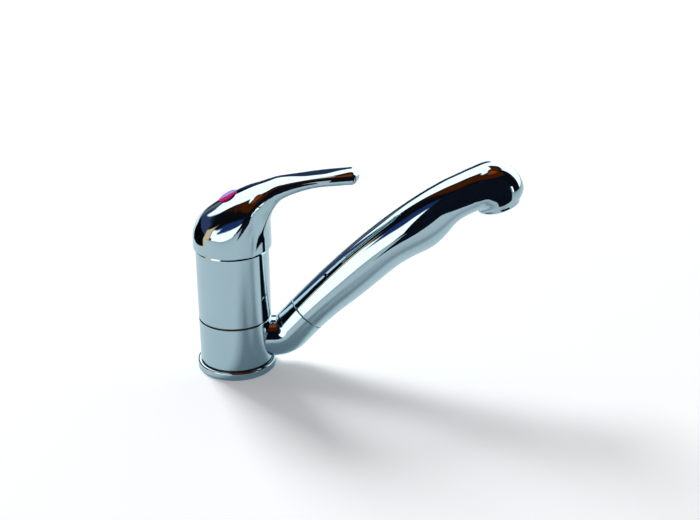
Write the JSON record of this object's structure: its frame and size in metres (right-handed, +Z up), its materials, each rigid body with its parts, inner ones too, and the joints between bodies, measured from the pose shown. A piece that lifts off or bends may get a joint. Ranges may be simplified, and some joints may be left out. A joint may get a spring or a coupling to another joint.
{
  "type": "caravan mixer tap",
  "caption": "Single-lever caravan basin mixer with a swivelling, rising spout, an elbow collar, a round flange and a domed lever cap over a ceramic-disc cartridge.",
  "frame": {"origin": "centre of the flange's underside, where the tap meets the worktop", "axes": "+Z up the body's axis, +X along the spout and the lever towards the user, hot on the -Y side"},
  "size_m": [0.206, 0.05, 0.1343],
  "materials": {
    "body_chrome": "polished",
    "collar_chrome": "polished",
    "lever_chrome": "polished",
    "flange_chrome": "polished",
    "plated_plastic": "mirror plated",
    "aerator_chrome": "polished",
    "insert_plastic": "moulded",
    "seal_rubber": "matt",
    "bearing_plastic": "satin",
    "cartridge_plastic": "satin",
    "guide_plastic": "satin",
    "disc_ceramic": "lapped",
    "stem_steel": "drawn",
    "nut_brass": "turned",
    "hot_plastic": "glossy",
    "cold_plastic": "glossy"
  },
  "bodies": {
    "root": {"base_ring": "flange_chrome", "base_seal": "seal_rubber", "lower_slip_ring": "bearing_plastic", "upper_slip_ring": "bearing_plastic", "swivel_o_ring_lower": "seal_rubber", "swivel_o_ring_upper": "seal_rubber", "valve_body": "body_chrome", "cartridge_base": "cartridge_plastic", "floor_seals": "seal_rubber", "disc_seals": "seal_rubber", "cartridge_housing": "cartridge_plastic", "fixed_disc": "disc_ceramic", "cartridge_nut": "nut_brass"},
    "spout": {"swivel_collar": "collar_chrome", "spout_arm": "plated_plastic", "spout_o_ring": "seal_rubber", "aerator_housing": "aerator_chrome", "aerator_insert": "insert_plastic", "aerator_washer": "seal_rubber"},
    "yoke": {"stem_guide": "guide_plastic", "stem_pivot_pin": "stem_steel"},
    "lever": {"lever": "lever_chrome", "lever_screw": "stem_steel", "indicator_hot": "hot_plastic", "indicator_cold": "cold_plastic", "cartridge_stem": "stem_steel"},
    "disc": {"moving_disc": "disc_ceramic", "disc_carrier": "cartridge_plastic"}
  },
  "joints": [
    {"name": "spout_swivel", "type": "hinge", "parent": "root", "child": "spout", "pos_m": [0, 0, 0], "axis": [0, 0, 1], "continuous": true},
    {"name": "lever_turn", "type": "hinge", "parent": "root", "child": "yoke", "pos_m": [0, 0, 0.0762], "axis": [0, 0, 1], "range_deg": [-50, 50]},
    {"name": "lever_lift", "type": "hinge", "parent": "yoke", "child": "lever", "pos_m": [0, 0, 0.0762], "axis": [0, -1, 0], "range_deg": [0, 25]},
    {"name": "disc_slide", "type": "slide", "parent": "yoke", "child": "disc", "axis": [1, 0, 0], "range_m": [0, 0.0035]}
  ],
  "couplings": [
    {"joint": "disc_slide", "follows": "lever_lift", "m_per_rad": 0.008}
  ]
}
